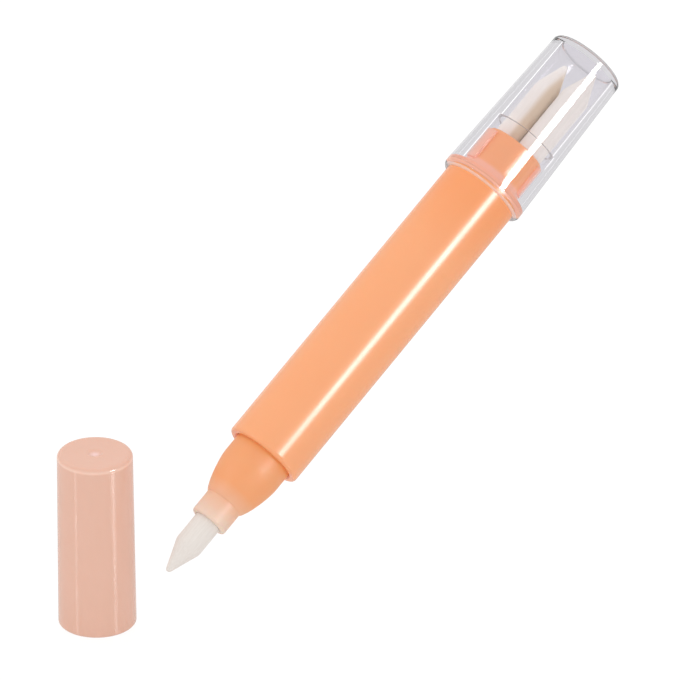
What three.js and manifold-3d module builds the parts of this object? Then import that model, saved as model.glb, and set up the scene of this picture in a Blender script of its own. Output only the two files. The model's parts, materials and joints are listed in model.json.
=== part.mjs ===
// A makeup remover pen: a felt nib in a rounded nose, a barrel with a fibre reservoir, spare nibs under a
// clear rear cap, and the front cap taken off and standing beside the nib.
// Millimetres, +Z up. The origin is on the pen's axis, where a hand holds the barrel.
// The pen lies in the XZ plane and leans: its nib points down towards -X, its clear end up towards +X.
import * as THREE from "three";
import { mergeVertices } from "three/addons/utils/BufferGeometryUtils.js";
import Module from "manifold-3d";

const wasm = await Module();
wasm.setup();

// Place of the pen and of the cap beside it
const LEAN = 34.5; // degrees of the pen's axis above the horizontal
const GRIP = 20; // from the barrel's front rim back to the origin
const NIB_HEIGHT = 16; // of the nib's tip above the surface that the cap stands on
const CAP_AHEAD = 2.6; // of the cap's axis past the nib's tip, towards -X
const CAP_ASIDE = 17; // of the cap's axis from the pen, towards +Y

// Clearances
const SEAT_GAP = 0.3; // between faces that meet end to end
const PRESS_GAP = 0.15; // round a piece that is pressed in
const SLIDE_GAP = 0.2; // round a piece that pulls off by hand

// Nib, the same for the one in use and the spares
const NIB_DIAMETER = 5.25;
const NIB_REACH = 11.8; // of the tip in front of the nose
const NIB_POINT_ANGLE = 20; // degrees from the nib's axis to the side of its ground point
const NIB_TIP_ROUND = 0.6; // radius of the ball at the tip
const NIB_IN_CORE = 2.9; // depth of the nib's tail in the reservoir
const NIB_TAIL_CHAMFER = 0.4;

// Fibre reservoir and the film round it
const CORE_DIAMETER = 8.4;
const CORE_IN_NOSE = 2.6; // of the core in front of the barrel's rim
const FILM_WALL = 0.25;
const FILM_SETBACK = 0.4; // of the film's ends from the core's ends
const RESERVOIR_GAP = 0.25; // round the film

// Nose, with the sleeve that holds the nib
const SLEEVE_WALL = 0.88;
const SLEEVE_LENGTH = 4.6;
const SLEEVE_LIP_ROUND = 0.45;
const OGIVE_LENGTH = 7.8;
const OGIVE_FULLNESS = 1.4; // 1 is a straight cone, 2 is an ellipse
const LAND_LENGTH = 3.5; // straight band that the front cap grips
const HOLLOW_TAPER = 3.6; // length of the funnel from the hollow to the nib's bore
const SPIGOT_WALL = 1.05;
const SPIGOT_LENGTH = 10;
const BEAD_HEIGHT = 0.1; // of the sealing rings on a spigot
const BEAD_WIDTH = 0.8;
const BEAD_PITCH = 2.2;

// Barrel
const BARREL_WALL = 1.45;
const BARREL_LENGTH = 65;
const RIM_ROUND = 0.6;
const BORE_CHAMFER = 0.25;
const BARREL_RIB_COUNT = 6;
const BARREL_RIB_WIDTH = 1;

// Tail plug, with the sockets for the spare nibs
const PLUG_SPIGOT = 7.5;
const PLUG_FLOOR = 1.4;
const FLANGE_LAND = 0.3;
const SHOULDER_HEIGHT = 1.8;
const SHOULDER_LEDGE = 0.3;
const NECK_HEIGHT = 7.3;
const NECK_WALL = 0.3;
const NECK_EDGE_ROUND = 0.3;
const NECK_RIB_COUNT = 3;
const NECK_RIB_TURN = 60; // degrees from the first spare nib to the first rib
const NECK_RIB_WIDTH = 1.7;
const NECK_RIB_HEIGHT = 0.2;
const NECK_RIB_SETBACK = 0.7; // from the neck's two ends
const SOCKET_DEPTH = 9.6;
const SPARE_COUNT = 2;
const SPARE_GAP = 0.2; // between neighbouring spare nibs
const SPARE_STAGGER = 1.7; // each spare nib stands this much higher than the one before
const SPARE_TURN = 108.5; // degrees of the first spare nib round the pen's axis

// Clear cap
const CLEAR_OVERLAP = 0.7; // over the barrel's rear end
const CLEAR_MOUTH_WALL = 0.9;
const CLEAR_SIDE_WALL = 1.8; // at the closed end
const CLEAR_END_WALL = 1.1;
const CLEAR_EDGE_ROUND = 0.9;
const CLEAR_LIP_ROUND = 0.3;
const BORE_STEP = 2.7; // height of the step in the bore above the neck
const SPARE_ROOM = 0.4; // round the bundle of spare nibs
const SPARE_TIP_ROOM = 0.8; // above the highest spare tip

// Front cap and its inner seal
const CAP_WALL = 1.08;
const CAP_TOP = 1.55;
const CAP_DRAFT = 0.25; // radius lost from the rim to the top
const CAP_EDGE_ROUND = 0.9;
const CAP_RIM_ROUND = 0.3;
const CAP_TIP_ROOM = 3.9; // above the nib's tip when the cap is on
const GATE_DIAMETER = 3;
const GATE_DEPTH = 0.4;
const SEAL_WALL = 0.8;
const SEAL_TOP = 1;
const SEAL_FLANGE = 1.5;
const SEAL_OVERLAP = 2.6; // on the nib's sleeve when the cap is on
const SEAL_GAP = 0.1;
const SEAL_CHAMFER = 0.35;

// Facets
const FACETS = 36; // round a turned piece
const ARC_STEPS = 3; // along a rounded edge
const CURVE_STEPS = 7; // along the ogive

// Radii, worked out from the nib and the reservoir outwards
const nibRadius = NIB_DIAMETER / 2;
const nibBore = nibRadius + PRESS_GAP;
const sleeveRadius = nibBore + SLEEVE_WALL;
const coreRadius = CORE_DIAMETER / 2;
const filmInside = coreRadius + PRESS_GAP;
const filmRadius = filmInside + FILM_WALL;
const hollowRadius = filmRadius + RESERVOIR_GAP;
const spigotRadius = hollowRadius + SPIGOT_WALL;
const barrelBore = spigotRadius + PRESS_GAP;
const barrelRadius = barrelBore + BARREL_WALL;
const sparePitch = SPARE_COUNT > 1 ? (nibRadius + SPARE_GAP / 2) / Math.sin(Math.PI / SPARE_COUNT) : 0;
const neckRadius = sparePitch + nibBore + NECK_WALL;
const neckRibRadius = neckRadius + NECK_RIB_HEIGHT;
const clearBore = neckRibRadius + SLIDE_GAP;
const spareBore = sparePitch + nibRadius + SPARE_ROOM;
const clearMouthBore = barrelRadius + SLIDE_GAP;
const clearMouthRadius = clearMouthBore + CLEAR_MOUTH_WALL;
const clearEndRadius = spareBore + CLEAR_SIDE_WALL;
const capBore = spigotRadius + SLIDE_GAP;
const capRadius = capBore + CAP_WALL;
const sealBore = sleeveRadius + SEAL_GAP;
const sealRadius = sealBore + SEAL_WALL;

// Places along the pen from the barrel's front rim, towards the clear end
const noseLength = LAND_LENGTH + OGIVE_LENGTH + SLEEVE_LENGTH;
const nibTip = -noseLength - NIB_REACH;
const coreFront = -CORE_IN_NOSE;
const nibTail = coreFront + NIB_IN_CORE;
const nibLength = nibTail - nibTip;
const plugFront = BARREL_LENGTH - PLUG_SPIGOT;
const coreRear = plugFront - SEAT_GAP;
const flangeFront = BARREL_LENGTH + SEAT_GAP;
const shoulderTop = flangeFront + FLANGE_LAND + SHOULDER_HEIGHT;
const neckTop = shoulderTop + NECK_HEIGHT;
const socketFloor = neckTop - SOCKET_DEPTH;
const spareTails = Array.from({ length: SPARE_COUNT }, (_, i) => socketFloor + SEAT_GAP + i * SPARE_STAGGER);
const clearMouth = BARREL_LENGTH - CLEAR_OVERLAP;
const boreStep = neckTop + BORE_STEP;
const clearCeiling = Math.max(...spareTails) + nibLength + SPARE_TIP_ROOM;
const clearEnd = clearCeiling + CLEAR_END_WALL;

// Heights in the front cap from its rim, which meets the barrel's front rim when the cap is on
const sealFront = noseLength - SEAL_OVERLAP;
const sealCeiling = noseLength + NIB_REACH + CAP_TIP_ROOM;
const sealRear = sealCeiling + SEAL_TOP;
const capCeiling = sealRear + SEAT_GAP;
const capHeight = capCeiling + CAP_TOP;

const degrees = THREE.MathUtils.degToRad;

// A rounded edge in a profile: radius r about (x, y), from one angle to the other in degrees.
function arc(x, y, r, from, to) {
  const points = [];
  for (let i = 0; i <= ARC_STEPS; i++) {
    const a = degrees(from + ((to - from) * i) / ARC_STEPS);
    points.push([x + r * Math.cos(a), y + r * Math.sin(a)]);
  }
  return points;
}

// Turns a profile of [radius, height] pairs round Z. It runs up the outside, and back down the inside.
function turned(profile) {
  const points = profile.map(([x, y]) => new THREE.Vector2(Math.max(x, 0), y));
  return new THREE.LatheGeometry(points, FACETS).rotateX(Math.PI / 2);
}

// A turned ring or tube, whose profile closes on itself.
function turnedRing(profile) {
  return turned([...profile, profile[0]]);
}

function solidFrom(geometry) {
  const bare = geometry.clone();
  bare.deleteAttribute("normal");
  bare.deleteAttribute("uv");
  const merged = mergeVertices(bare, 1e-4);
  return new wasm.Manifold(
    new wasm.Mesh({
      numProp: 3,
      vertProperties: new Float32Array(merged.attributes.position.array),
      triVerts: new Uint32Array(merged.index.array),
    }),
  );
}

function geometryFrom(solid) {
  const mesh = solid.getMesh();
  const geometry = new THREE.BufferGeometry();
  geometry.setAttribute("position", new THREE.BufferAttribute(new Float32Array(mesh.vertProperties), 3));
  geometry.setIndex(new THREE.BufferAttribute(new Uint32Array(mesh.triVerts), 1));
  return geometry;
}

// Two sealing beads on a spigot's outside, with their heights increasing from the first bead's middle.
function beads(radius, first) {
  return [first, first + BEAD_PITCH].flatMap((middle) => [
    [radius, middle - BEAD_WIDTH / 2],
    [radius + BEAD_HEIGHT, middle],
    [radius, middle + BEAD_WIDTH / 2],
  ]);
}

// Ribs spread round the axis between two radii, from one height to another.
function ribs(count, width, inside, outside, bottom, top, turn) {
  return Array.from({ length: count }, (_, i) => {
    const rib = new THREE.BoxGeometry(outside - inside, width, top - bottom);
    rib.translate((inside + outside) / 2, 0, (bottom + top) / 2);
    return solidFrom(rib.rotateZ(degrees(turn + (360 * i) / count)));
  });
}

// A felt nib, its tip at height 0 and its tail up. The ball at the tip runs into the cone of the point.
function nibGeometry() {
  const ball = arc(0, NIB_TIP_ROUND, NIB_TIP_ROUND, -90, -NIB_POINT_ANGLE);
  const [coneRadius, coneStart] = ball[ball.length - 1];
  const coneLength = (nibRadius - coneRadius) / Math.tan(degrees(NIB_POINT_ANGLE));
  return turned([
    [0, 0],
    ...ball.slice(1),
    [nibRadius, coneStart + coneLength],
    [nibRadius, nibLength - NIB_TAIL_CHAMFER],
    [nibRadius - NIB_TAIL_CHAMFER, nibLength],
    [0, nibLength],
  ]);
}

// Nose, sleeve and spigot are one moulding.
function frontSectionGeometry() {
  const ogiveFront = -LAND_LENGTH - OGIVE_LENGTH;
  const ogive = [];
  for (let i = 0; i <= CURVE_STEPS; i++) {
    const back = 1 - Math.pow(i / CURVE_STEPS, 2);
    const rise = Math.pow(1 - Math.pow(back, OGIVE_FULLNESS), 1 / OGIVE_FULLNESS);
    ogive.push([sleeveRadius + (spigotRadius - sleeveRadius) * rise, -LAND_LENGTH - OGIVE_LENGTH * back]);
  }
  const hollowFront = coreFront - SEAT_GAP;
  return turnedRing([
    [nibBore, -noseLength],
    ...arc(sleeveRadius - SLEEVE_LIP_ROUND, -noseLength + SLEEVE_LIP_ROUND, SLEEVE_LIP_ROUND, -90, 0),
    [sleeveRadius, ogiveFront],
    ...ogive.slice(1),
    ...beads(spigotRadius, BEAD_PITCH),
    [spigotRadius, SPIGOT_LENGTH],
    [hollowRadius, SPIGOT_LENGTH],
    [hollowRadius, hollowFront],
    [nibBore, hollowFront - HOLLOW_TAPER],
  ]);
}

function barrelGeometry() {
  const tube = turnedRing([
    [barrelBore + BORE_CHAMFER, 0],
    ...arc(barrelRadius - RIM_ROUND, RIM_ROUND, RIM_ROUND, -90, 0),
    ...arc(barrelRadius - BORE_CHAMFER, BARREL_LENGTH - BORE_CHAMFER, BORE_CHAMFER, 0, 90),
    [barrelBore, BARREL_LENGTH],
    [barrelBore, BORE_CHAMFER],
  ]);
  const sunk = barrelBore + BARREL_WALL / 2;
  const ribFront = SPIGOT_LENGTH + SEAT_GAP;
  const ribRear = plugFront - SEAT_GAP;
  const centring = ribs(BARREL_RIB_COUNT, BARREL_RIB_WIDTH, hollowRadius, sunk, ribFront, ribRear, 0);
  return geometryFrom(centring.reduce((solid, rib) => solid.add(rib), solidFrom(tube)));
}

// The core's front has a pocket for the nib's tail.
function reservoirCoreGeometry() {
  const pocketFloor = nibTail + SEAT_GAP;
  return turned([
    [0, pocketFloor],
    [nibBore, pocketFloor],
    [nibBore, coreFront],
    [coreRadius, coreFront],
    [coreRadius, coreRear],
    [0, coreRear],
  ]);
}

function reservoirFilmGeometry() {
  return turnedRing([
    [filmInside, coreFront + FILM_SETBACK],
    [filmRadius, coreFront + FILM_SETBACK],
    [filmRadius, coreRear - FILM_SETBACK],
    [filmInside, coreRear - FILM_SETBACK],
  ]);
}

function sparePlace(i) {
  const turn = degrees(SPARE_TURN + (360 * i) / SPARE_COUNT);
  return new THREE.Vector2(sparePitch * Math.cos(turn), sparePitch * Math.sin(turn));
}

function tailPlugGeometry() {
  const hollowTop = socketFloor - PLUG_FLOOR;
  const body = turned([
    [0, hollowTop],
    [hollowRadius, hollowTop],
    [hollowRadius, plugFront],
    [spigotRadius, plugFront],
    ...beads(spigotRadius, plugFront + BEAD_PITCH),
    [spigotRadius, flangeFront],
    [barrelRadius, flangeFront],
    [barrelRadius, flangeFront + FLANGE_LAND],
    [neckRadius + SHOULDER_LEDGE, shoulderTop],
    [neckRadius, shoulderTop + SHOULDER_LEDGE],
    ...arc(neckRadius - NECK_EDGE_ROUND, neckTop - NECK_EDGE_ROUND, NECK_EDGE_ROUND, 0, 90),
    [0, neckTop],
  ]);
  const ribBottom = shoulderTop + NECK_RIB_SETBACK;
  const ribTop = neckTop - NECK_RIB_SETBACK;
  const sunk = neckRadius - NECK_WALL / 2;
  const ribTurn = SPARE_TURN + NECK_RIB_TURN;
  const grips = ribs(NECK_RIB_COUNT, NECK_RIB_WIDTH, sunk, neckRibRadius, ribBottom, ribTop, ribTurn);
  const gripped = grips.reduce((solid, rib) => solid.add(rib), solidFrom(body));
  const socket = turned([
    [0, socketFloor],
    [nibBore, socketFloor],
    [nibBore, neckTop + SEAT_GAP],
    [0, neckTop + SEAT_GAP],
  ]);
  const sockets = spareTails.map((_, i) => {
    const place = sparePlace(i);
    return solidFrom(socket.clone().translate(place.x, place.y, 0));
  });
  return geometryFrom(sockets.reduce((solid, hole) => solid.subtract(hole), gripped));
}

// The bore of the clear cap steps in above the neck, and its mouth flares to clear the plug's shoulder.
function clearCapGeometry() {
  const seatBottom = flangeFront + FLANGE_LAND + SEAT_GAP;
  const seatTop = shoulderTop + SEAT_GAP;
  const edge = clearEndRadius - CLEAR_EDGE_ROUND;
  return turned([
    [0, clearCeiling],
    [spareBore - CLEAR_LIP_ROUND, clearCeiling],
    [spareBore, clearCeiling - CLEAR_LIP_ROUND],
    [spareBore, boreStep],
    [clearBore, boreStep],
    [clearBore + SHOULDER_LEDGE, seatTop],
    [clearMouthBore, seatBottom],
    [clearMouthBore, clearMouth + CLEAR_LIP_ROUND],
    [clearMouthBore + CLEAR_LIP_ROUND, clearMouth],
    ...arc(clearMouthRadius - CLEAR_LIP_ROUND, clearMouth + CLEAR_LIP_ROUND, CLEAR_LIP_ROUND, -90, 0),
    ...arc(edge, clearEnd - CLEAR_EDGE_ROUND, CLEAR_EDGE_ROUND, 0, 90),
    [0, clearEnd],
  ]);
}

// The hollow that the moulding gate leaves in the front cap's top, from its edge to its lowest point.
function gateDimple() {
  const edge = GATE_DIAMETER / 2;
  const sphere = (edge * edge + GATE_DEPTH * GATE_DEPTH) / (2 * GATE_DEPTH);
  const lowest = capHeight - GATE_DEPTH;
  const slope = THREE.MathUtils.radToDeg(Math.asin(edge / sphere));
  return [...arc(0, lowest + sphere, sphere, slope - 90, -90).slice(0, -1), [0, lowest]];
}

// The front cap stands on its rim, open side down.
function frontCapGeometry() {
  const topRadius = capRadius - CAP_DRAFT;
  return turned([
    [0, capCeiling],
    [capBoreAt(capCeiling), capCeiling],
    [capBore, 0],
    [capRadius - CAP_RIM_ROUND, 0],
    ...arc(capRadius - CAP_RIM_ROUND, CAP_RIM_ROUND, CAP_RIM_ROUND, -90, 0).slice(1),
    ...arc(topRadius - CAP_EDGE_ROUND, capHeight - CAP_EDGE_ROUND, CAP_EDGE_ROUND, 0, 90),
    ...gateDimple(),
  ]);
}

function capBoreAt(height) {
  return capBore - (CAP_DRAFT * height) / capHeight;
}

// A cup pressed into the top of the front cap. It closes round the nib's sleeve when the cap is on.
function capInnerSealGeometry() {
  const flangeRadius = capBoreAt(sealRear) - PRESS_GAP;
  return turned([
    [0, sealCeiling],
    [sealBore, sealCeiling],
    [sealBore, sealFront + SEAL_CHAMFER],
    [sealBore + SEAL_CHAMFER, sealFront],
    [sealRadius, sealFront],
    [sealRadius, sealRear - SEAL_FLANGE],
    [flangeRadius, sealRear - SEAL_FLANGE],
    [flangeRadius, sealRear],
    [0, sealRear],
  ]);
}

function material(color, roughness, opacity = 1) {
  return new THREE.MeshStandardMaterial({ color, roughness, metalness: 0, opacity, transparent: opacity < 1 });
}

const orangeGloss = material(0xfcab72, 0.2);
const orangeTranslucent = material(0xf8b080, 0.25, 0.9);
const felt = material(0xefe8e0, 0.9);
const fibre = material(0xf2efe8, 0.95);
const film = material(0xf4f4f2, 0.3, 0.6);
const clear = material(0xf4f6f8, 0.05, 0.25);
const peach = material(0xe5b8a3, 0.35);
const natural = material(0xf3f0ea, 0.45);

function piece(name, geometry, finish) {
  const mesh = new THREE.Mesh(geometry, finish);
  mesh.name = name;
  return mesh;
}

// Every piece of the pen is turned about the group's own Z, with the barrel's front rim at height 0.
const penAxis = new THREE.Group();
const nib = piece("nib", nibGeometry(), felt);
nib.position.z = nibTip;
penAxis.add(
  nib,
  piece("front_section", frontSectionGeometry(), orangeTranslucent),
  piece("barrel", barrelGeometry(), orangeGloss),
  piece("reservoir_core", reservoirCoreGeometry(), fibre),
  piece("reservoir_film", reservoirFilmGeometry(), film),
  piece("tail_plug", tailPlugGeometry(), orangeGloss),
  piece("clear_cap", clearCapGeometry(), clear),
);
spareTails.forEach((tail, i) => {
  const spare = piece("spare_nib_" + (i + 1), nibGeometry(), felt);
  const place = sparePlace(i);
  spare.rotation.x = Math.PI;
  spare.position.set(place.x, place.y, tail + nibLength);
  penAxis.add(spare);
});
penAxis.position.z = -GRIP;

const pen = new THREE.Group();
pen.add(penAxis);
pen.rotation.y = degrees(90 - LEAN);

const tipFromGrip = nibTip - GRIP;
const cap = new THREE.Group();
cap.add(piece("front_cap", frontCapGeometry(), peach), piece("cap_inner_seal", capInnerSealGeometry(), natural));
cap.position.set(
  tipFromGrip * Math.cos(degrees(LEAN)) - CAP_AHEAD,
  CAP_ASIDE,
  tipFromGrip * Math.sin(degrees(LEAN)) - NIB_HEIGHT,
);

const remover = new THREE.Group();
remover.add(pen, cap);

export default remover;
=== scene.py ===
# %% [markdown]
# # A makeup remover pen
# The pen is a handful of turned mouldings on one axis: a felt nib in a milky nose, a gloss barrel with a
# fibre reservoir, and a tail plug with two spare nibs under a clear cap. Its front cap stands beside the
# nib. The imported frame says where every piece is. This script gives each piece a smooth mesh and a
# finish.

# %% Load the frame
import json
import math

import bpy
from mathutils import Matrix, Vector


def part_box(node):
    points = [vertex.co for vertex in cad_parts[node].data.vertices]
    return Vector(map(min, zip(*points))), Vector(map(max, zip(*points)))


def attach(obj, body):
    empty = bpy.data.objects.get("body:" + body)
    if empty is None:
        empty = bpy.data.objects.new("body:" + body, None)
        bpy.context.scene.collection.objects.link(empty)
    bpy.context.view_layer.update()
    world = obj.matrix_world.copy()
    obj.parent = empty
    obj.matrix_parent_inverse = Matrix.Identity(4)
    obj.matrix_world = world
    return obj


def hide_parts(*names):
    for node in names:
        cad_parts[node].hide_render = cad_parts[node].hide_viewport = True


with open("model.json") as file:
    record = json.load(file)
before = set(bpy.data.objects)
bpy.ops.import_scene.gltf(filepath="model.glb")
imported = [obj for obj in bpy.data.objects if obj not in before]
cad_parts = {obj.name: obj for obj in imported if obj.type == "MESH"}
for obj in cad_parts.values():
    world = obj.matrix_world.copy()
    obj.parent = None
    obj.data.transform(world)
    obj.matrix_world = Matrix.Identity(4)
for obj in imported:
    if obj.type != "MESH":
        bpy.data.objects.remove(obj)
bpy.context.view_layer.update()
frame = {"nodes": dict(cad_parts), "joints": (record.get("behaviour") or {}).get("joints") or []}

MM = 0.001
print("nodes in the frame:", sorted(frame["nodes"]))

# %% [markdown]
# ## Where the pen lies
# Every piece of the pen is turned about one axis, so each is drawn standing on Z, with the barrel's front
# rim at height 0, and is then laid along the pen. The joint that pulls the clear cap off runs along that
# axis, and the barrel's own points tell where its rim is. The front cap only needs to be moved to its
# place on the floor.

# %% The pen's axis and the cap's place
pen_axis = Vector(next(j["axis"] for j in frame["joints"] if j["name"] == "clear_cap_pull"))
pen_turn = math.atan2(pen_axis.x, pen_axis.z)
barrel_rim = min(v.co.dot(pen_axis) for v in frame["nodes"]["barrel"].data.vertices)
pen_start = pen_axis * barrel_rim
pen_place = Matrix.Translation(pen_start) @ Matrix.Rotation(pen_turn, 4, "Y")
pen_lean = 90 - math.degrees(pen_turn)

cap_low, cap_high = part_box("front_cap")
floor_height = cap_low.z
cap_foot = Vector(((cap_low.x + cap_high.x) / 2, (cap_low.y + cap_high.y) / 2, floor_height))
cap_place = Matrix.Translation(cap_foot)
print(f"the pen leans {pen_lean:.1f} degrees, and the floor is at {floor_height / MM:.2f} mm")

# %% [markdown]
# ## The camera
# The photograph was taken with a long lens from well above the pen. A long lens keeps the barrel's two
# edges almost parallel. The distance and the lens belong together: a shorter lens from nearer would make
# the nib too large.

# %% Camera
VIEW_AZIMUTH = -41.287  # degrees, from -Y towards +X
VIEW_ELEVATION = 26.755  # degrees above the floor
CAMERA_LENS = 405.3
CAMERA_SENSOR = 36.0
CAMERA_DISTANCE = 1398.2  # mm from the grip on the barrel
AIM_RIGHT = 1.77  # mm from the grip to the middle of the picture
AIM_UP = 6.12


def heading(azimuth, elevation):
    """A unit vector from the object towards that azimuth and elevation, in degrees."""
    a = math.radians(azimuth)
    e = math.radians(elevation)
    return Vector((math.sin(a) * math.cos(e), -math.cos(a) * math.cos(e), math.sin(e)))


towards_camera = heading(VIEW_AZIMUTH, VIEW_ELEVATION)
picture_right = Vector((0, 0, 1)).cross(towards_camera).normalized()
picture_up = towards_camera.cross(picture_right)
camera_data = bpy.data.cameras.new("camera")
camera_data.lens = CAMERA_LENS
camera_data.sensor_width = CAMERA_SENSOR
camera = bpy.data.objects.new("camera", camera_data)
camera.location = MM * (AIM_RIGHT * picture_right + AIM_UP * picture_up + CAMERA_DISTANCE * towards_camera)
camera.rotation_euler = towards_camera.to_track_quat("Z", "Y").to_euler()
bpy.context.scene.collection.objects.link(camera)
bpy.context.scene.camera = camera
print("camera at", [round(x, 3) for x in camera.location])

# %% [markdown]
# ## Adding nodes
# Every material and every Geometry Nodes tree below is built by one small function. It adds a node, sets
# its properties, and fills its inputs: an input that is given another node's output is linked to it.
# Colours are written as they look on a screen, and a second function turns them into the linear values
# that shaders use.


# %% Nodes and colours
def node(tree, kind, inputs=None, **settings):
    """Adds a node, with its settings, and with its inputs set to values or linked to outputs."""
    made = tree.nodes.new(kind)
    for name, value in settings.items():
        setattr(made, name, value)
    for key, value in (inputs or {}).items():
        if isinstance(value, bpy.types.NodeSocket):
            tree.links.new(value, made.inputs[key])
        else:
            made.inputs[key].default_value = value
    return made


def linear(colour):
    """A hex colour as it looks on a screen, as the linear values that shaders use."""
    shares = [int(colour[i : i + 2], 16) / 255 for i in (1, 3, 5)]
    return (*[c / 12.92 if c <= 0.04045 else ((c + 0.055) / 1.055) ** 2.4 for c in shares], 1.0)


print("a screen's middle grey is", [round(c, 3) for c in linear("#808080")], "in linear values")

# %% [markdown]
# ## Floor and backdrop
# Product pictures like this are taken on a white table inside a white tent. The floor and the world glow
# white for rays that come from the camera, so the background is white all round the pen. In a mirror or
# through a clear piece they are the pale grey that a lit backdrop has, which gives the clear cap its tone
# and the barrel its edges. For scattered light they are plain surfaces, so the floor keeps a faint
# shadow. The tent is a little brighter at the upper left, and the table is polished.

# %% Floor
FLOOR_SIZE = 4.0
FLOOR_GLOW = 0.86  # share of the floor's white that doesn't depend on the lamps
FLOOR_POLISH = 0.06
FLOOR_SHINE = 0.5
BACKDROP_GREY = 0.72  # of the background in a mirror or through a clear piece, where 1 is white


def seen_by(tree):
    """How bright a ray sees the background, and a switch that is 1 for scattered light and else 0."""
    path = node(tree, "ShaderNodeLightPath").outputs
    bent = {0: path["Is Glossy Ray"], 1: path["Is Transmission Ray"]}
    indirect = node(tree, "ShaderNodeMath", bent, operation="MAXIMUM").outputs[0]
    grey = node(tree, "ShaderNodeMath", {0: indirect, 1: BACKDROP_GREY}, operation="MULTIPLY").outputs[0]
    any_ray = {0: path["Is Camera Ray"], 1: grey}
    bright = node(tree, "ShaderNodeMath", any_ray, operation="MAXIMUM").outputs[0]
    scattered = {"Value": bright, "From Max": BACKDROP_GREY, "To Min": 1.0, "To Max": 0.0}
    return bright, node(tree, "ShaderNodeMapRange", scattered).outputs[0]


# To the eye: plain white, with a faint shadow and the lamps mirrored in it, but not through a clear piece.
def polished_table():
    material = bpy.data.materials.new("white_table")
    material.use_nodes = True
    tree = material.node_tree
    tree.nodes.clear()
    bright, scattered = seen_by(tree)
    glow = node(tree, "ShaderNodeMath", {0: bright, 1: FLOOR_GLOW}, operation="MULTIPLY").outputs[0]
    shaded = {0: bright, 1: 1 - FLOOR_GLOW, 2: scattered}
    white = node(tree, "ShaderNodeMath", shaded, operation="MULTIPLY_ADD").outputs[0]
    through = node(tree, "ShaderNodeLightPath").outputs["Is Transmission Ray"]
    mirrored = {"Value": through, "To Min": FLOOR_SHINE, "To Max": 0.0}
    shader = node(
        tree,
        "ShaderNodeBsdfPrincipled",
        {
            "Base Color": white,
            "Roughness": FLOOR_POLISH,
            "Specular IOR Level": node(tree, "ShaderNodeMapRange", mirrored).outputs[0],
            "Emission Color": linear("#FFFFFF"),
            "Emission Strength": glow,
        },
    )
    node(tree, "ShaderNodeOutputMaterial", {"Surface": shader.outputs[0]})
    return material


half = FLOOR_SIZE / 2
floor_corners = [(x * half, y * half, floor_height) for x, y in ((-1, -1), (1, -1), (1, 1), (-1, 1))]
floor_mesh = bpy.data.meshes.new("floor")
floor_mesh.from_pydata(floor_corners, [], [(0, 1, 2, 3)])
floor_mesh.materials.append(polished_table())
floor = bpy.data.objects.new("floor", floor_mesh)
bpy.context.scene.collection.objects.link(floor)
print("floor:", FLOOR_SIZE, "m wide")

# %% Tent
TENT_LIGHT = 0.93  # of the world on rough surfaces
TENT_LEAN = 0.18  # how much brighter the tent's bright side is than its middle
TENT_BRIGHT_SIDE = (-80, 50)  # azimuth and elevation in degrees


def white_tent():
    world = bpy.data.worlds.new("white_tent")
    world.use_nodes = True
    tree = world.node_tree
    tree.nodes.clear()
    sides = {0: node(tree, "ShaderNodeTexCoord").outputs["Generated"], 1: heading(*TENT_BRIGHT_SIDE)}
    side = node(tree, "ShaderNodeVectorMath", sides, operation="DOT_PRODUCT").outputs["Value"]
    lean = {"Value": side, "From Min": -1.0, "To Min": 1 - TENT_LEAN, "To Max": 1 + TENT_LEAN}
    soft = {0: node(tree, "ShaderNodeMapRange", lean).outputs[0], 1: TENT_LIGHT}
    on_rough = node(tree, "ShaderNodeMath", soft, operation="MULTIPLY").outputs[0]
    bright, scattered = seen_by(tree)
    all_rays = {0: on_rough, 1: scattered, 2: bright}
    light = node(tree, "ShaderNodeMath", all_rays, operation="MULTIPLY_ADD").outputs[0]
    tent = node(tree, "ShaderNodeBackground", {"Color": linear("#FFFFFF"), "Strength": light})
    node(tree, "ShaderNodeOutputWorld", {"Surface": tent.outputs[0]})
    return world


bpy.context.scene.world = white_tent()
bpy.context.scene.view_settings.view_transform = "Standard"
print("world:", bpy.context.scene.world.name)

# %% [markdown]
# ## Lamps
# The lamps are narrow. One draws the bright stripe along the barrel and along the clear cap, where the
# bore mirrors it a second time. Two are mirrored by the table into the sides of the front cap. Two stand
# to the sides behind the pen, where the bore of the clear cap bends the view, and draw the bright lines
# along it. All are there for their reflections, so rough surfaces don't see them, and the tent alone
# lights those.


# %% Stripe lamp
def strip_lamp(name, target, away, distance, long_side, size, radiance, through=False):
    """A lamp that faces target. Its width comes first in size, and its length runs along long_side."""
    width, length = size
    lamp = bpy.data.lights.new(name, "AREA")
    lamp.shape = "RECTANGLE"
    lamp.size = length
    lamp.size_y = width
    lamp.energy = radiance * math.pi * width * length
    placed = bpy.data.objects.new(name, lamp)
    across = (long_side - away * long_side.dot(away)).normalized()
    turn = Matrix((across, away.cross(across), away)).transposed().to_4x4()
    placed.matrix_world = Matrix.Translation(target + away * distance) @ turn
    placed.visible_camera = False
    placed.visible_diffuse = False
    placed.visible_transmission = through
    bpy.context.scene.collection.objects.link(placed)


LAMP_DISTANCE = 0.8  # m
STRIPE_AIM = 76  # mm along the pen
STRIPE_SIDE = (5.9, 15.2)  # azimuth and elevation in degrees
STRIPE_SIZE = (0.18, 0.21)  # m
STRIPE_RADIANCE = 28
stripe_target = pen_start + pen_axis * STRIPE_AIM * MM
stripe_away = heading(*STRIPE_SIDE)
strip_lamp(
    "stripe_lamp",
    stripe_target,
    stripe_away,
    LAMP_DISTANCE,
    pen_axis,
    STRIPE_SIZE,
    STRIPE_RADIANCE,
    through=True,
)
print("the stripe lamp faces the pen", STRIPE_AIM, "mm behind the barrel's rim")

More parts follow.
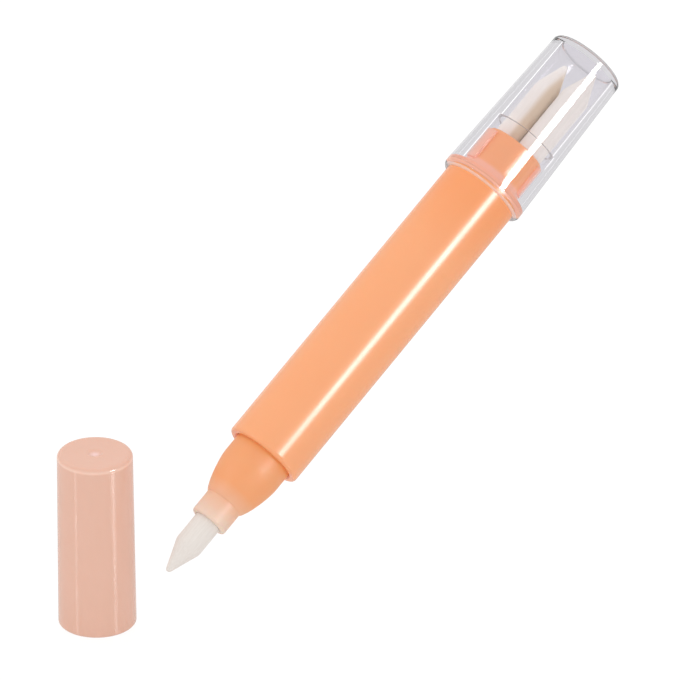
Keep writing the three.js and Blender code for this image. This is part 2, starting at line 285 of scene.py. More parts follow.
# %% Cap lamps
CAP_LAMPS = {"right_lamp": (18.7, 20), "left_lamp": (-101.3, 15)}  # azimuth in degrees, and radiance
CAP_LAMP_ELEVATION = 26.8
CAP_LAMP_SIZE = (0.09, 0.12)  # m
upwards = Vector((0, 0, 1))
for name, (azimuth, radiance) in CAP_LAMPS.items():
    away = heading(azimuth, CAP_LAMP_ELEVATION)
    strip_lamp(name, cap_foot, away, LAMP_DISTANCE, upwards, CAP_LAMP_SIZE, radiance)
print("lamps for the front cap:", list(CAP_LAMPS))

# %% Bore lamps
BORE_BEND = 59  # degrees by which the edge of the clear cap's bore bends the view round the pen's axis
BORE_LAMPS = ((BORE_BEND, 0.8), (-BORE_BEND, 0.11))  # and the distance in m of the lamp that is seen there
BORE_LAMP_AIM = 82  # mm along the pen
BORE_LAMP_WIDTH = 0.04  # m for each m of distance
BORE_LAMP_LENGTH = (0.06, 0.2)  # m, and m more for each m of distance
BORE_LAMP_RADIANCE = 0.95
bore_target = pen_start + pen_axis * BORE_LAMP_AIM * MM
for number, (bend, distance) in enumerate(BORE_LAMPS):
    seen = Matrix.Rotation(math.radians(bend), 3, pen_axis) @ -towards_camera
    size = (BORE_LAMP_WIDTH * distance, BORE_LAMP_LENGTH[0] + BORE_LAMP_LENGTH[1] * distance)
    name = f"bore_lamp_{number + 1}"
    strip_lamp(name, bore_target, seen, distance, pen_axis, size, BORE_LAMP_RADIANCE, through=True)

# %% [markdown]
# ## Finishes
# Every finish reads Object coordinates. The meshes lie in the pen's place, so a Mapping node first turns
# a point back into the pen's own coordinates, with Z along the pen and 0 at the barrel's rim. The cap's
# finishes are centred on the cap in the same way.


# %% Coordinates and a bare material
def own_coordinates(tree, start, turn):
    """Object coordinates, turned so that Z runs along the piece's own axis from start."""
    place = node(tree, "ShaderNodeTexCoord").outputs["Object"]
    mapped = {"Vector": place, "Location": start, "Rotation": (0, turn, 0)}
    return node(tree, "ShaderNodeMapping", mapped, vector_type="TEXTURE").outputs[0]


def bare_material(name):
    material = bpy.data.materials.new(name)
    material.use_nodes = True
    material.node_tree.nodes.clear()
    return material, material.node_tree


print("the pen's finishes start at", [round(x / MM, 2) for x in pen_start], "mm")

# %% [markdown]
# ### Gloss orange
# The barrel and the tail plug are polypropylene from a polished tool. One colour each would be simpler,
# but the wall lets a little light in. So the barrel is paler at the front, where the white reservoir is
# behind it, than at the rear. The plug's shoulder and ribs are painted paler than its neck: painted
# light, for the pale look that the clear cap gives them where they press on it. One function mixes two
# oranges, along the pen or outwards from its axis, and noise makes the change uneven, as the flow of the
# plastic does.

# %% Gloss orange
POLYPROPYLENE_IOR = 1.49
FLOW_WIDTH = 9  # mm, of the streaks that the flow leaves in the colour
FLOW_STRENGTH = 0.18
POLISH_PATCH = 4  # mm, between places of finer and duller polish
SKIN_GRAIN = 0.8  # mm, drawn coarser than the real skin so that it shows
SKIN_DEPTH = 0.05  # mm
ALONG = (0, 0, 1)
OUTWARDS = (1, 1, 0)


# To the eye: a bright stripe with soft edges, over a colour that glows a little from within.
def gloss_orange(name, first, second, span, way):
    """Gloss plastic whose colour changes between two distances in mm, along the pen or out from its axis."""
    material, tree = bare_material(name)
    place = own_coordinates(tree, pen_start, pen_turn)
    leg = node(tree, "ShaderNodeVectorMath", {0: place, 1: way}, operation="MULTIPLY").outputs[0]
    reach = node(tree, "ShaderNodeVectorMath", {0: leg}, operation="LENGTH").outputs["Value"]
    change = {"Value": reach, "From Min": span[0] * MM, "From Max": span[1] * MM}
    share = node(tree, "ShaderNodeMapRange", change, interpolation_type="SMOOTHSTEP").outputs[0]
    streaks = {"Vector": place, "Scale": 1 / (FLOW_WIDTH * MM), "Detail": 3.0}
    flow = node(tree, "ShaderNodeTexNoise", streaks).outputs[0]
    swing = {"Value": flow, "To Min": -FLOW_STRENGTH, "To Max": FLOW_STRENGTH}
    uneven = node(tree, "ShaderNodeMapRange", swing).outputs[0]
    mixed = node(tree, "ShaderNodeMath", {0: share, 1: uneven}, operation="ADD", use_clamp=True).outputs[0]
    oranges = {"Factor": mixed, 6: linear(first), 7: linear(second)}
    patches = {"Vector": place, "Scale": 1 / (POLISH_PATCH * MM), "Detail": 2.0}
    wear = node(tree, "ShaderNodeTexNoise", patches).outputs[0]
    polish = {"Value": wear, "To Min": 0.21, "To Max": 0.27}
    grain = {"Vector": place, "Scale": 1 / (SKIN_GRAIN * MM), "Detail": 1.0}
    skin = node(tree, "ShaderNodeTexNoise", grain).outputs[0]
    relief = {"Height": skin, "Strength": 0.04, "Distance": SKIN_DEPTH * MM}
    shader = node(
        tree,
        "ShaderNodeBsdfPrincipled",
        {
            "Base Color": node(tree, "ShaderNodeMix", oranges, data_type="RGBA").outputs[2],
            "Roughness": node(tree, "ShaderNodeMapRange", polish).outputs[0],
            "Normal": node(tree, "ShaderNodeBump", relief).outputs[0],
            "IOR": POLYPROPYLENE_IOR,
            "Subsurface Weight": 0.15,
            "Subsurface Radius": (1.0, 0.45, 0.2),
            "Subsurface Scale": 1.2 * MM,
        },
    )
    node(tree, "ShaderNodeOutputMaterial", {"Surface": shader.outputs[0]})
    return material


barrel_finish = gloss_orange("gloss_orange_polypropylene", "#FFAE7B", "#FDA269", (45, 65), ALONG)
# the plug's paler shoulder and ribs are painted light
tail_finish = gloss_orange("gloss_orange_polypropylene_tail", "#F9A268", "#FBB194", (5.85, 6.05), OUTWARDS)
print("finishes:", barrel_finish.name, tail_finish.name)

# %% [markdown]
# ### Milky orange
# The nose is the same polypropylene with less pigment, so light soaks into it. The white nib shows
# through the thin sleeve, more and more towards its end. Close to the barrel the nose has a painted
# shade, a deeper orange where the crevice at the barrel's rim is. A really translucent wall would need
# many more samples, so the colour follows the height.

# %% Milky orange
SLEEVE_FADE = (-17.0, -8.4)  # mm along the pen, from the palest place to the full orange
# mm along the pen over which the painted shade at the barrel's rim fades in
PAINTED_ROOT_SHADE_FADE = (-1.6, -0.2)
CLOUD_WIDTH = 5  # mm, between milkier and clearer places
CLOUD_STRENGTH = 0.08


# To the eye: a soft, waxy shine, a colour that pales towards the sleeve's end, and a painted shade at the
# root.
def milky_orange():
    material, tree = bare_material("milky_orange_polypropylene")
    place = own_coordinates(tree, pen_start, pen_turn)
    height = node(tree, "ShaderNodeSeparateXYZ", {0: place}).outputs["Z"]
    sleeve = {"Value": height, "From Min": SLEEVE_FADE[0] * MM, "From Max": SLEEVE_FADE[1] * MM}
    share = node(tree, "ShaderNodeMapRange", sleeve).outputs[0]
    clouds = {"Vector": place, "Scale": 1 / (CLOUD_WIDTH * MM), "Detail": 2.0}
    cloud = node(tree, "ShaderNodeTexNoise", clouds).outputs[0]
    swing = {"Value": cloud, "To Min": -CLOUD_STRENGTH, "To Max": CLOUD_STRENGTH}
    uneven = node(tree, "ShaderNodeMapRange", swing).outputs[0]
    mixed = node(tree, "ShaderNodeMath", {0: share, 1: uneven}, operation="ADD", use_clamp=True).outputs[0]
    front = {"Factor": mixed, 6: linear("#EFDACB"), 7: linear("#FAA871")}
    body = node(tree, "ShaderNodeMix", front, data_type="RGBA").outputs[2]
    # painted shade: the nose turns a deeper orange close to the barrel's rim, where the crevice is
    root_shade = {"Value": height, "From Min": PAINTED_ROOT_SHADE_FADE[0] * MM, "From Max": PAINTED_ROOT_SHADE_FADE[1] * MM}
    depth = node(tree, "ShaderNodeMapRange", root_shade, interpolation_type="SMOOTHSTEP").outputs[0]
    whole = {"Factor": depth, 6: body, 7: linear("#FAA865")}
    polish = {"Value": cloud, "To Min": 0.4, "To Max": 0.5}
    shader = node(
        tree,
        "ShaderNodeBsdfPrincipled",
        {
            "Base Color": node(tree, "ShaderNodeMix", whole, data_type="RGBA").outputs[2],
            "Roughness": node(tree, "ShaderNodeMapRange", polish).outputs[0],
            "IOR": POLYPROPYLENE_IOR,
            "Subsurface Weight": 0.35,
            "Subsurface Radius": (1.0, 0.5, 0.25),
            "Subsurface Scale": 1.2 * MM,
        },
    )
    node(tree, "ShaderNodeOutputMaterial", {"Surface": shader.outputs[0]})
    return material


nose_finish = milky_orange()
print("finish:", nose_finish.name)

# %% [markdown]
# ### Felt
# The nib is a rod of bonded polyester fibres that run along it, ground to a point. The fibres are about
# 0.02 mm thick, and are drawn ten times coarser here so that they show. Noise that is drawn out along the
# rod stands for them, in the colour and in the relief. The lower spare has a painted shade, a tan on the
# side where it leans on its neighbour, for the shadow that its neighbour casts there. Light that soaks
# through its fibres makes that shade soft.

# %% Felt
FIBRE_WIDTH = 0.25  # mm
FIBRE_DRAW = 0.08  # width of a fibre as a share of its length
FIBRE_DEPTH = 0.05  # mm
SPARE_TURN = 108.5  # degrees round the pen from +X to the lower spare
PAINTED_SHADE_MIDDLE = 0.7  # mm from the pen's axis to the strongest painted shade
PAINTED_SHADE_FADE = (0.3, 1.5)  # mm from there, over which the painted shade fades out


def painted_leaning_shade(tree, place, felt, shade):
    """The felt's colour with a painted shade on the side that is turned to the pen's axis."""
    angle = math.radians(SPARE_TURN)
    outwards = {0: place, 1: (math.cos(angle), math.sin(angle), 0)}
    reach = node(tree, "ShaderNodeVectorMath", outwards, operation="DOT_PRODUCT").outputs["Value"]
    beside = node(tree, "ShaderNodeMath", {0: reach, 1: PAINTED_SHADE_MIDDLE * MM}, operation="SUBTRACT").outputs[0]
    off = node(tree, "ShaderNodeMath", {0: beside}, operation="ABSOLUTE").outputs[0]
    fade = {"Value": off, "From Min": PAINTED_SHADE_FADE[0] * MM, "From Max": PAINTED_SHADE_FADE[1] * MM}
    share = node(tree, "ShaderNodeMapRange", fade, interpolation_type="SMOOTHSTEP").outputs[0]
    mixed = {"Factor": share, 6: linear(shade), 7: felt}
    return node(tree, "ShaderNodeMix", mixed, data_type="RGBA").outputs[2]


# To the eye: a dull, slightly fluffy white with fine lines along the rod.
def bonded_felt(name, colour, shade, painted_shade_tone=None, soak=0.0):
    material, tree = bare_material(name)
    place = own_coordinates(tree, pen_start, pen_turn)
    drawn = node(tree, "ShaderNodeMapping", {"Vector": place, "Scale": (1, 1, FIBRE_DRAW)}).outputs[0]
    strands = {"Vector": drawn, "Scale": 1 / (FIBRE_WIDTH * MM), "Detail": 4.0}
    fibres = node(tree, "ShaderNodeTexNoise", strands).outputs[0]
    mixed = {"Factor": fibres, 6: linear(shade), 7: linear(colour)}
    felt = node(tree, "ShaderNodeMix", mixed, data_type="RGBA").outputs[2]
    # the painted shade, where the neighbouring spare shades this one
    if painted_shade_tone:
        felt = painted_leaning_shade(tree, place, felt, painted_shade_tone)
    rough = {"Value": fibres, "To Min": 0.8, "To Max": 1.0}
    relief = {"Height": fibres, "Strength": 0.35, "Distance": FIBRE_DEPTH * MM}
    shader = node(
        tree,
        "ShaderNodeBsdfPrincipled",
        {
            "Base Color": felt,
            "Roughness": node(tree, "ShaderNodeMapRange", rough).outputs[0],
            "Normal": node(tree, "ShaderNodeBump", relief).outputs[0],
            "Sheen Weight": 0.25,
            "Sheen Roughness": 0.5,
            "Subsurface Weight": soak,
            "Subsurface Radius": (1.0, 1.0, 1.0),
            "Subsurface Scale": 2.0 * MM,
        },
    )
    node(tree, "ShaderNodeOutputMaterial", {"Surface": shader.outputs[0]})
    return material


felt_finish = bonded_felt("bonded_polyester_felt", "#F3ECE6", "#E2D9D1")
# the lower spare, with a painted shade where its neighbour casts shadow on it
painted_shade_felt_finish = bonded_felt(
    "bonded_polyester_felt_painted_shade", "#F3ECE6", "#E2D9D1", painted_shade_tone="#D6C1A9", soak=0.7
)
fibre_finish = bonded_felt("bonded_polyester_fibre", "#F5F2EC", "#E6E1D8")
print("finishes:", felt_finish.name, painted_shade_felt_finish.name, fibre_finish.name)

# %% [markdown]
# ### Clear polystyrene
# Crystal polystyrene bends light strongly, so the thick side walls mirror the backdrop and hide what is
# behind them. It has a faint violet tint. The edge of the mouth and the step in the bore get a second
# finish that passes only a part of the light and scatters the rest. It is a painted highlight for the pale
# lines that light bent by these edges makes. Without it they would be dark lines.

# %% Clear polystyrene
POLYSTYRENE_IOR = 1.59
RIPPLE_WIDTH = 3  # mm, of the faint ripples that the flow leaves
RIPPLE_DRAW = 0.2  # width of a ripple as a share of its length


# To the eye: sharp lines of light along the wall, and a painted pale highlight at the lip and the step.
def clear_polystyrene(name, clearness):
    material, tree = bare_material(name)
    place = own_coordinates(tree, pen_start, pen_turn)
    drawn = node(tree, "ShaderNodeMapping", {"Vector": place, "Scale": (1, 1, RIPPLE_DRAW)}).outputs[0]
    ripples = {"Vector": drawn, "Scale": 1 / (RIPPLE_WIDTH * MM), "Detail": 2.0}
    flow = node(tree, "ShaderNodeTexNoise", ripples).outputs[0]
    polish = node(tree, "ShaderNodeMapRange", {"Value": flow, "To Min": 0.0, "To Max": 0.03}).outputs[0]
    shader = node(
        tree,
        "ShaderNodeBsdfPrincipled",
        {
            "Base Color": linear("#FBF9FD"),
            "Roughness": polish,
            "IOR": POLYSTYRENE_IOR,
            "Transmission Weight": clearness,
        },
    )
    node(tree, "ShaderNodeOutputMaterial", {"Surface": shader.outputs[0]})
    return material


clear_finish = clear_polystyrene("clear_polystyrene", 1.0)
# a painted highlight: the pale lines at the lip's edge and the bore's step
painted_highlight_finish = clear_polystyrene("clear_polystyrene_painted_highlight", 0.6)
print("finishes:", clear_finish.name, painted_highlight_finish.name)

# %% [markdown]
# ### Satin peach
# The front cap is opaque polypropylene with a finer polish than a matt tool and less than a mirror. Its
# rounded top edge has a painted highlight, a paler ring, and the gate mark a painted glint, a pale dot.
# Both are placed by distances, from the edge's height and from the cap's axis, so no image has to be
# painted.

# %% Satin peach
PEACH_CLOUD = 7  # mm, between lighter and darker places
PEACH_GRAIN = 0.6  # mm, drawn coarser than the real skin so that it shows
PAINTED_EDGE_HIGHLIGHT = 33.75  # mm above the cap's rim, where the painted highlight runs
PAINTED_EDGE_HIGHLIGHT_REACH = 0.4
PAINTED_GATE_GLINT = (0.3, 1.1)  # mm from the cap's axis, over which the painted glint in the gate mark fades out


# To the eye: lamps show in it as soft lines, its top edge has a painted highlight as a paler ring, and the
# gate mark a painted glint.
def satin_peach():
    material, tree = bare_material("satin_peach_polypropylene")
    place = own_coordinates(tree, cap_foot, 0)
    clouds = {"Vector": place, "Scale": 1 / (PEACH_CLOUD * MM), "Detail": 3.0}
    cloud = node(tree, "ShaderNodeTexNoise", clouds).outputs[0]
    peaches = {"Factor": cloud, 6: linear("#EABAA4"), 7: linear("#EFC0AC")}
    colour = node(tree, "ShaderNodeMix", peaches, data_type="RGBA").outputs[2]
    height = node(tree, "ShaderNodeSeparateXYZ", {0: place}).outputs["Z"]
    # painted highlight: a paler ring along the rounded top edge
    above = node(tree, "ShaderNodeMath", {0: height, 1: PAINTED_EDGE_HIGHLIGHT * MM}, operation="SUBTRACT").outputs[0]
    off = node(tree, "ShaderNodeMath", {0: above}, operation="ABSOLUTE").outputs[0]
    near = {"Value": off, "From Max": PAINTED_EDGE_HIGHLIGHT_REACH * MM, "To Min": 1.0, "To Max": 0.0}
    edge = {"Factor": node(tree, "ShaderNodeMapRange", near).outputs[0], 6: colour, 7: linear("#FBD2BF")}
    edge_highlighted = node(tree, "ShaderNodeMix", edge, data_type="RGBA").outputs[2]
    # painted glint: a pale dot in the middle of the gate mark
    level = node(tree, "ShaderNodeVectorMath", {0: place, 1: OUTWARDS}, operation="MULTIPLY").outputs[0]
    reach = node(tree, "ShaderNodeVectorMath", {0: level}, operation="LENGTH").outputs["Value"]
    middle = {"Value": reach, "From Min": PAINTED_GATE_GLINT[0] * MM, "From Max": PAINTED_GATE_GLINT[1] * MM}
    outside = node(tree, "ShaderNodeMapRange", middle).outputs[0]
    gate_glint = {"Factor": outside, 6: linear("#FDD5CF"), 7: edge_highlighted}
    polish = {"Value": cloud, "To Min": 0.09, "To Max": 0.13}
    grain = {"Vector": place, "Scale": 1 / (PEACH_GRAIN * MM), "Detail": 1.0}
    skin = node(tree, "ShaderNodeTexNoise", grain).outputs[0]
    relief = {"Height": skin, "Strength": 0.05, "Distance": SKIN_DEPTH * MM}
    shader = node(
        tree,
        "ShaderNodeBsdfPrincipled",
        {
            "Base Color": node(tree, "ShaderNodeMix", gate_glint, data_type="RGBA").outputs[2],
            "Roughness": node(tree, "ShaderNodeMapRange", polish).outputs[0],
            "Normal": node(tree, "ShaderNodeBump", relief).outputs[0],
            "IOR": POLYPROPYLENE_IOR,
            "Subsurface Weight": 0.12,
            "Subsurface Radius": (1.0, 0.6, 0.45),
            "Subsurface Scale": 1.0 * MM,
        },
    )
    node(tree, "ShaderNodeOutputMaterial", {"Surface": shader.outputs[0]})
    return material


peach_finish = satin_peach()
print("finish:", peach_finish.name)

# %% [markdown]
# ### Natural polyethylene and film
# The seal and the film have no pigment. They are hidden until the pen comes apart, so one simple finish
# with two close colours does for both.

# %% Natural polyethylene and film
WAX_CLOUD = 3  # mm, between milkier and clearer places
WAX_SWING = 0.05  # of the roughness


# To the eye: a milky white with a waxy shine.
def milky(name, colour, shade, roughness, start, turn):
    material, tree = bare_material(name)
    place = own_coordinates(tree, start, turn)
    clouds = {"Vector": place, "Scale": 1 / (WAX_CLOUD * MM), "Detail": 2.0}
    cloud = node(tree, "ShaderNodeTexNoise", clouds).outputs[0]
    whites = {"Factor": cloud, 6: linear(shade), 7: linear(colour)}
    waxy = {"Value": cloud, "To Min": roughness - WAX_SWING, "To Max": roughness + WAX_SWING}
    shader = node(
        tree,
        "ShaderNodeBsdfPrincipled",
        {
            "Base Color": node(tree, "ShaderNodeMix", whites, data_type="RGBA").outputs[2],
            "Roughness": node(tree, "ShaderNodeMapRange", waxy).outputs[0],
            "Subsurface Weight": 0.4,
            "Subsurface Scale": 1.0 * MM,
        },
    )
    node(tree, "ShaderNodeOutputMaterial", {"Surface": shader.outputs[0]})
    return material


seal_finish = milky("natural_polyethylene", "#F3EFE8", "#E6E0D6", 0.4, cap_foot, 0)
film_finish = milky("clear_film_on_fibre", "#F4F3F0", "#E9E7E2", 0.25, pen_start, pen_turn)
print("finishes:", seal_finish.name, film_finish.name)

# %% [markdown]
# ## Turning a profile
# Almost every piece is turned, so one Geometry Nodes tree makes them all. It takes a line of points,
# radius along X and height along Z, lays a grid of one row for each point and one column for each step
# round the axis, and moves each grid point to its place on the circle. Merging closes the seam and the
# points on the axis. A Screw modifier could do the same, but a tree states the rule, and its steps can be
# reused.

# %% The turning tree
MERGE_DISTANCE = 0.001  # mm


def turning_tree():
    tree = bpy.data.node_groups.new("turn_about_axis", "GeometryNodeTree")
    tree.interface.new_socket("Profile", in_out="INPUT", socket_type="NodeSocketGeometry")
    tree.interface.new_socket("Steps", in_out="INPUT", socket_type="NodeSocketInt")
    tree.interface.new_socket("Finish", in_out="INPUT", socket_type="NodeSocketMaterial")
    tree.interface.new_socket("Geometry", in_out="OUTPUT", socket_type="NodeSocketGeometry")
    given = node(tree, "NodeGroupInput").outputs
    size = node(tree, "GeometryNodeAttributeDomainSize", {"Geometry": given["Profile"]}, component="MESH")
    rows = size.outputs["Point Count"]
    columns = node(tree, "FunctionNodeIntegerMath", {0: given["Steps"], 1: 1}, operation="ADD").outputs[0]
    grid = node(tree, "GeometryNodeMeshGrid", {"Vertices X": columns, "Vertices Y": rows}).outputs["Mesh"]
    index = node(tree, "GeometryNodeInputIndex").outputs[0]
    column = node(tree, "FunctionNodeIntegerMath", {0: index, 1: rows}, operation="DIVIDE_FLOOR").outputs[0]
    row = node(tree, "FunctionNodeIntegerMath", {0: index, 1: rows}, operation="MODULO").outputs[0]
    position = node(tree, "GeometryNodeInputPosition").outputs[0]
    sampled = {"Geometry": given["Profile"], "Value": position, "Index": row}
    point = node(tree, "GeometryNodeSampleIndex", sampled, data_type="FLOAT_VECTOR").outputs[0]
    share = node(tree, "ShaderNodeMath", {0: column, 1: given["Steps"]}, operation="DIVIDE").outputs[0]
    angle = node(tree, "ShaderNodeMath", {0: share, 1: math.tau}, operation="MULTIPLY").outputs[0]
    swung = {"Vector": point, "Angle": angle}
    turned_point = node(tree, "ShaderNodeVectorRotate", swung, rotation_type="Z_AXIS").outputs[0]
    moved = node(tree, "GeometryNodeSetPosition", {"Geometry": grid, "Position": turned_point}).outputs[0]
    merged = {"Geometry": moved, "Distance": MERGE_DISTANCE * MM}
    closed = node(tree, "GeometryNodeMergeByDistance", merged).outputs[0]
    smooth = node(tree, "GeometryNodeSetShadeSmooth", {"Geometry": closed}).outputs[0]
    real = node(tree, "GeometryNodeRealizeInstances", {"Geometry": smooth}).outputs[0]
    finish = {"Geometry": real, "Material": given["Finish"]}
    finished = node(tree, "GeometryNodeSetMaterial", finish).outputs[0]
    node(tree, "NodeGroupOutput", {"Geometry": finished})
    return tree


turning = turning_tree()
print("turning tree:", len(turning.nodes), "nodes")

# %% [markdown]
# ## From a profile to a piece
# A profile has only the points that its shape needs. Smooth shading would bend the light on a long
# straight stretch, so an extra point near both of its ends holds it straight. The tree's result is kept
# as a plain mesh, laid in its place, and handed to the frame with the body that it rides on and the node
# that it stands for.

# %% Points of a profile
ARC_STEPS = 8
HOLD = 0.08  # mm from a bend to the extra point that keeps a straight stretch straight


def arc(x, y, radius, start, end):
    """Points of a rounded edge about (x, y), from one angle to the other in degrees."""
    angles = [math.radians(start + (end - start) * i / ARC_STEPS) for i in range(ARC_STEPS + 1)]
    return [(x + radius * math.cos(a), y + radius * math.sin(a)) for a in angles]


def held(profile):
    """The profile with an extra point near both ends of each long stretch."""
    points = [Vector(profile[0])]
    for following in map(Vector, profile[1:]):
        step = following - points[-1]
        if step.length > 4 * HOLD:
            near = step.normalized() * HOLD
            points += [points[-1] + near, following - near]
        points.append(following)
    return points


print("a straight stretch of 1 mm is held by", len(held([(0, 0), (1, 0)])), "points")

# %% Turned pieces
TURN_STEPS = 128
SHARP = 40  # degrees, above which an edge is drawn sharp


def keep_result(piece):
    """Replaces a piece's mesh by what its modifiers make of it."""
    graph = bpy.context.evaluated_depsgraph_get()
    made = bpy.data.meshes.new_from_object(piece.evaluated_get(graph), depsgraph=graph)
    piece.modifiers.clear()
    piece.data = made


def run_tree(piece, tree, values):
    """Runs a Geometry Nodes tree on a piece with these inputs, and keeps the result as a plain mesh."""
    modifier = piece.modifiers.new(tree.name, "NODES")
    modifier.node_group = tree
    for socket in tree.interface.items_tree:
        if socket.name in values:
            modifier[socket.identifier] = values[socket.name]
    keep_result(piece)


def new_piece(name, points, edges, faces):
    mesh = bpy.data.meshes.new(name)
    mesh.from_pydata(points, edges, faces)
    piece = bpy.data.objects.new(name, mesh)
    bpy.context.scene.collection.objects.link(piece)
    return piece


def turned(name, profile, finish, steps=TURN_STEPS):
    """A smooth solid of revolution about Z. The profile, in mm, ends on the axis or closes on itself."""
    points = [(x * MM, 0, y * MM) for x, y in held(profile)]
    piece = new_piece(name, points, [(i, i + 1) for i in range(len(points) - 1)], [])
    run_tree(piece, turning, {"Steps": steps, "Finish": finish})
    piece.data.set_sharp_from_angle(angle=math.radians(SHARP))
    return piece


def turned_ring(name, profile, finish, steps=TURN_STEPS):
    """A turned tube or ring, whose profile closes on itself."""
    return turned(name, [*profile, profile[0]], finish, steps)


def fit(piece, place, body, node_name):
    """Lays a piece in its place, and lets it stand for its node."""
    piece.data.transform(place)
    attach(piece, body)
    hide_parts(node_name)
    reach = (Vector(piece.bound_box[6]) - Vector(piece.bound_box[0])) / MM
    low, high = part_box(node_name)
    boxes = [[round(x, 2) for x in size] for size in (reach, (high - low) / MM)]
    print(f"{piece.name}: {len(piece.data.polygons)} faces, box {boxes[0]} mm, node {boxes[1]} mm")


print("a turned piece has", TURN_STEPS, "steps round its axis")

# %% [markdown]
# ## The barrel
# A straight gloss tube with a rounded front rim. Inside it has six low ribs that keep the reservoir in
# the middle. Ribs repeat, so a second tree copies one rib round the axis, and the same tree makes the
# ribs on the tail plug. A Boolean modifier makes one piece of the ribs and the wall, so that nothing
# shows inside the wall.


# %% Ribs round an axis
def rib_tree():
    tree = bpy.data.node_groups.new("ribs_round_axis", "GeometryNodeTree")
    tree.interface.new_socket("Rib", in_out="INPUT", socket_type="NodeSocketGeometry")
    tree.interface.new_socket("Count", in_out="INPUT", socket_type="NodeSocketInt")
    tree.interface.new_socket("First Angle", in_out="INPUT", socket_type="NodeSocketFloat")
    tree.interface.new_socket("Finish", in_out="INPUT", socket_type="NodeSocketMaterial")
    tree.interface.new_socket("Geometry", in_out="OUTPUT", socket_type="NodeSocketGeometry")
    given = node(tree, "NodeGroupInput").outputs
    points = node(tree, "GeometryNodePoints", {"Count": given["Count"]}).outputs[0]
    index = node(tree, "GeometryNodeInputIndex").outputs[0]
    share = node(tree, "ShaderNodeMath", {0: index, 1: given["Count"]}, operation="DIVIDE").outputs[0]
    angles = {0: share, 1: math.tau, 2: given["First Angle"]}
    angle = node(tree, "ShaderNodeMath", angles, operation="MULTIPLY_ADD").outputs[0]
    turn = node(tree, "ShaderNodeCombineXYZ", {"Z": angle}).outputs[0]
    copies = {"Points": points, "Instance": given["Rib"], "Rotation": turn}
    ring = node(tree, "GeometryNodeInstanceOnPoints", copies).outputs[0]
    real = node(tree, "GeometryNodeRealizeInstances", {"Geometry": ring}).outputs[0]
    finish = {"Geometry": real, "Material": given["Finish"]}
    finished = node(tree, "GeometryNodeSetMaterial", finish).outputs[0]
    node(tree, "NodeGroupOutput", {"Geometry": finished})
    return tree


rib_ring = rib_tree()


def ribs(name, count, width, inside, outside, bottom, top, first_angle, finish):
    """Straight ribs between two radii and two heights, in mm, spread round Z."""
    half_width = width / 2
    corners = [(inside, -half_width), (outside, -half_width), (outside, half_width), (inside, half_width)]
    points = [(x * MM, y * MM, z * MM) for z in (bottom, top) for x, y in corners]
    faces = [(3, 2, 1, 0), (4, 5, 6, 7), (0, 1, 5, 4), (1, 2, 6, 5), (2, 3, 7, 6), (3, 0, 4, 7)]
    rib = new_piece(name, points, [], faces)
    run_tree(rib, rib_ring, {"Count": count, "First Angle": math.radians(first_angle), "Finish": finish})
    return rib


def combine(piece, other, operation):
    """Joins another closed mesh to the piece, or cuts it out of the piece, and removes the other."""
    change = piece.modifiers.new("combine", "BOOLEAN")
    change.object = other
    change.operation = operation
    change.solver = "EXACT"
    keep_result(piece)
    bpy.data.objects.remove(other)
    piece.data.set_sharp_from_angle(angle=math.radians(SHARP))


print("rib tree:", len(rib_ring.nodes), "nodes")

# %% Barrel
BARREL_RADIUS = 7.5
BARREL_BORE = 5.92  # tight on the nose's spigot
BARREL_LENGTH = 65.28  # up to the tail plug's flange
BARREL_RIM_ROUND = 0.6
BORE_CHAMFER = 0.4
RESERVOIR_ROOM = 4.85  # radius inside the spigots and the centring ribs
RIB_COUNT = 6
RIB_WIDTH = 1.0
RIB_ROOT = 0.7  # how far a rib reaches into the wall
RIB_SPAN = (10.3, 57.2)

barrel = turned_ring(
    "barrel_tube",
    [
        (BARREL_BORE + BORE_CHAMFER, 0),
        *arc(BARREL_RADIUS - BARREL_RIM_ROUND, BARREL_RIM_ROUND, BARREL_RIM_ROUND, -90, 0),
        (BARREL_RADIUS, BARREL_LENGTH),
        (BARREL_BORE, BARREL_LENGTH),
        (BARREL_BORE, BORE_CHAMFER),
    ],
    barrel_finish,
)
rib_reach = (RESERVOIR_ROOM, BARREL_BORE + RIB_ROOT)
centring = ribs("centring_ribs", RIB_COUNT, RIB_WIDTH, *rib_reach, *RIB_SPAN, 0, barrel_finish)
combine(barrel, centring, "UNION")
fit(barrel, pen_place, "pen", "barrel")

# %% [markdown]
# ## The nose
# An ogive between the barrel and a straight sleeve that holds the nib. Its spigot, with two sealing
# beads, is pressed into the barrel. The ogive is a quarter of a superellipse: an exponent of 1 would be a
# cone, and 2 a plain ellipse. A formula keeps the curve smooth at any number of points.

# %% Ogive and sealing beads
SLEEVE_RADIUS = 3.655
OGIVE_LENGTH = 7.8
OGIVE_FULLNESS = 1.4  # the superellipse's exponent
LAND_LENGTH = 3.5  # of the straight stretch between the ogive and the barrel's rim
SPIGOT_RADIUS = 5.9
BEAD_HEIGHT = 0.1
BEAD_WIDTH = 0.8
BEAD_PITCH = 2.2
CURVE_STEPS = 28


def beads(radius, first):
    """Two sealing beads on a spigot."""
    points = []
    for middle in (first, first + BEAD_PITCH):
        points.append((radius, middle - BEAD_WIDTH / 2))
        points.append((radius + BEAD_HEIGHT, middle))
        points.append((radius, middle + BEAD_WIDTH / 2))
    return points


def ogive():
    points = []
    for i in range(CURVE_STEPS + 1):
        back = 1 - (i / CURVE_STEPS) ** 2
        rise = (1 - back**OGIVE_FULLNESS) ** (1 / OGIVE_FULLNESS)
        radius = SLEEVE_RADIUS + (SPIGOT_RADIUS - SLEEVE_RADIUS) * rise
        points.append((radius, -LAND_LENGTH - OGIVE_LENGTH * back))
    return points


print("the ogive has", len(ogive()), "points, and two beads have", len(beads(SPIGOT_RADIUS, BEAD_PITCH)))

